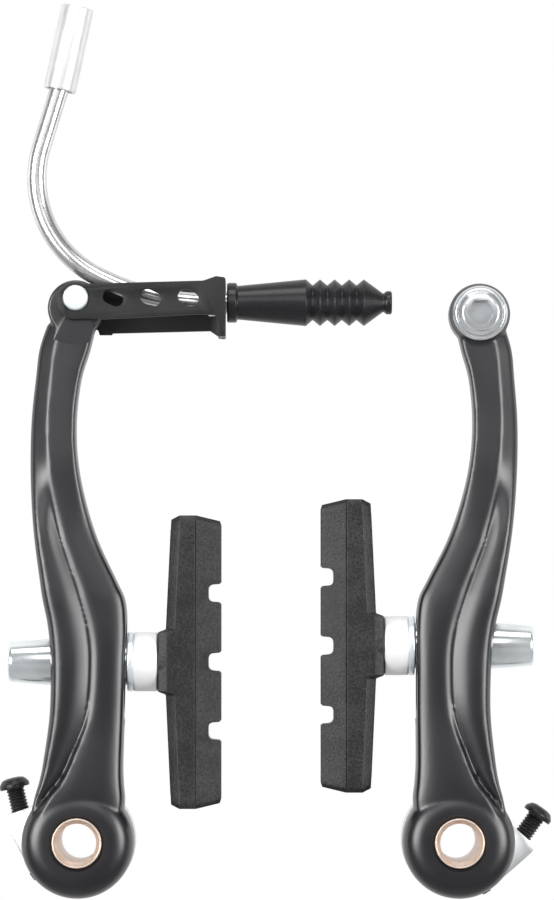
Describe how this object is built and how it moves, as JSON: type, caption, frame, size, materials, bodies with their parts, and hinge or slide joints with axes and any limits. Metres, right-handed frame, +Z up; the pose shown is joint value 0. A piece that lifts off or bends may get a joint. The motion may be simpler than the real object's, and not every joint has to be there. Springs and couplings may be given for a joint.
{
  "type": "bicycle v brake",
  "caption": "Linear-pull bicycle rim brake: a pair of black forged arms with pads on ball washers, a noodle, its link and a rubber boot.",
  "frame": {"origin": "midpoint between the two frame bosses' axes, at the shoulder that the pivot sleeves rest on", "axes": "+X to the right seen from the front, +Z up, +Y backwards to the frame, along both boss axes"},
  "size_m": [0.1172, 0.0298, 0.1887],
  "materials": {
    "arm_paint": "satin black",
    "bronze": "turned",
    "holder_alloy": "satin",
    "pin_steel": "turned",
    "spring_steel": "black oxide",
    "black_screw": "black oxide",
    "washer_steel": "turned",
    "spacer_steel": "bright",
    "nut_chrome": "polished",
    "pad_rubber": "grained",
    "link_steel": "satin black",
    "rivet_zinc": "zinc",
    "noodle_steel": "polished",
    "liner_plastic": "natural",
    "ferrule_alloy": "satin",
    "boot_rubber": "smooth",
    "bolt_zinc": "zinc"
  },
  "bodies": {
    "boss_mounted_parts": {"left_pivot_sleeve": "bronze", "left_spring_holder": "holder_alloy", "left_stopper_pin": "pin_steel", "right_pivot_sleeve": "bronze", "right_spring_holder": "holder_alloy", "right_stopper_pin": "pin_steel"},
    "left_arm": {"left_arm": "arm_paint", "left_return_spring": "spring_steel", "link_rivet": "rivet_zinc"},
    "right_arm": {"right_arm": "arm_paint", "right_return_spring": "spring_steel", "anchor_bolt": "bolt_zinc", "anchor_washer": "bolt_zinc"},
    "link": {"noodle_link": "link_steel"},
    "noodle": {"noodle_tube": "noodle_steel", "noodle_liner": "liner_plastic", "noodle_ferrule": "ferrule_alloy", "noodle_tip": "noodle_steel", "cable_boot": "boot_rubber"},
    "left_seat": {"left_inner_convex_washer": "washer_steel", "left_outer_convex_washer": "washer_steel"},
    "left_clamp": {"left_inner_concave_washer": "washer_steel", "left_outer_concave_washer": "washer_steel", "left_spacer_washer": "spacer_steel", "left_cap_nut": "nut_chrome"},
    "left_pad": {"left_pad_rubber": "pad_rubber", "left_pad_stud": "pin_steel"},
    "left_screw": {"left_tension_screw": "black_screw"},
    "right_seat": {"right_inner_convex_washer": "washer_steel", "right_outer_convex_washer": "washer_steel"},
    "right_clamp": {"right_inner_concave_washer": "washer_steel", "right_outer_concave_washer": "washer_steel", "right_spacer_washer": "spacer_steel", "right_cap_nut": "nut_chrome"},
    "right_pad": {"right_pad_rubber": "pad_rubber", "right_pad_stud": "pin_steel"},
    "right_screw": {"right_tension_screw": "black_screw"}
  },
  "joints": [
    {"name": "left_arm_pivot", "type": "hinge", "parent": "boss_mounted_parts", "child": "left_arm", "pos_m": [-0.04, 0, 0], "axis": [0, 1, 0], "range_deg": [-28, 3], "stiffness_Nm_per_rad": 1.5, "deforming": ["left_return_spring"]},
    {"name": "right_arm_pivot", "type": "hinge", "parent": "boss_mounted_parts", "child": "right_arm", "pos_m": [0.04, 0, 0], "axis": [0, -1, 0], "range_deg": [-28, 3], "stiffness_Nm_per_rad": 1.5, "deforming": ["right_return_spring"]},
    {"name": "link_pivot", "type": "hinge", "parent": "left_arm", "child": "link", "pos_m": [-0.04051, -0.0153, 0.11426], "axis": [0, -1, 0], "range_deg": [-3, 45]},
    {"name": "noodle_swivel", "type": "hinge", "parent": "link", "child": "noodle", "pos_m": [-0.01057, -0.0153, 0.11357], "axis": [1, 0, 0], "range_deg": [-12, 12]},
    {"name": "left_pad_height", "type": "slide", "parent": "left_arm", "child": "left_seat", "axis": [0.0297, 0, 0.9996], "range_m": [-0.00685, 0.00505]},
    {"name": "left_pad_toe", "type": "hinge", "parent": "left_seat", "child": "left_clamp", "pos_m": [-0.03608, -0.0141, 0.0378], "axis": [0.0297, 0, 0.9996], "range_deg": [-2.5, 2.5]},
    {"name": "left_pad_turn", "type": "hinge", "parent": "left_clamp", "child": "left_pad", "pos_m": [-0.03608, -0.0141, 0.0378], "axis": [1, 0, 0], "continuous": true},
    {"name": "left_tension_adjust", "type": "slide", "parent": "boss_mounted_parts", "child": "left_screw", "axis": [-0.2334, 0, 0.9724], "range_m": [-0.0016, 0.0018]},
    {"name": "right_pad_height", "type": "slide", "parent": "right_arm", "child": "right_seat", "axis": [0, 0, 1], "range_m": [-0.01015, 0.00175]},
    {"name": "right_pad_toe", "type": "hinge", "parent": "right_seat", "child": "right_clamp", "pos_m": [0.03721, -0.0141, 0.0412], "axis": [0, 0, 1], "range_deg": [-2.5, 2.5]},
    {"name": "right_pad_turn", "type": "hinge", "parent": "right_clamp", "child": "right_pad", "pos_m": [0.03721, -0.0141, 0.0412], "axis": [1, 0, 0], "continuous": true},
    {"name": "right_tension_adjust", "type": "slide", "parent": "boss_mounted_parts", "child": "right_screw", "axis": [0.5807, 0, 0.8141], "range_m": [-0.0016, 0.0018]}
  ]
}
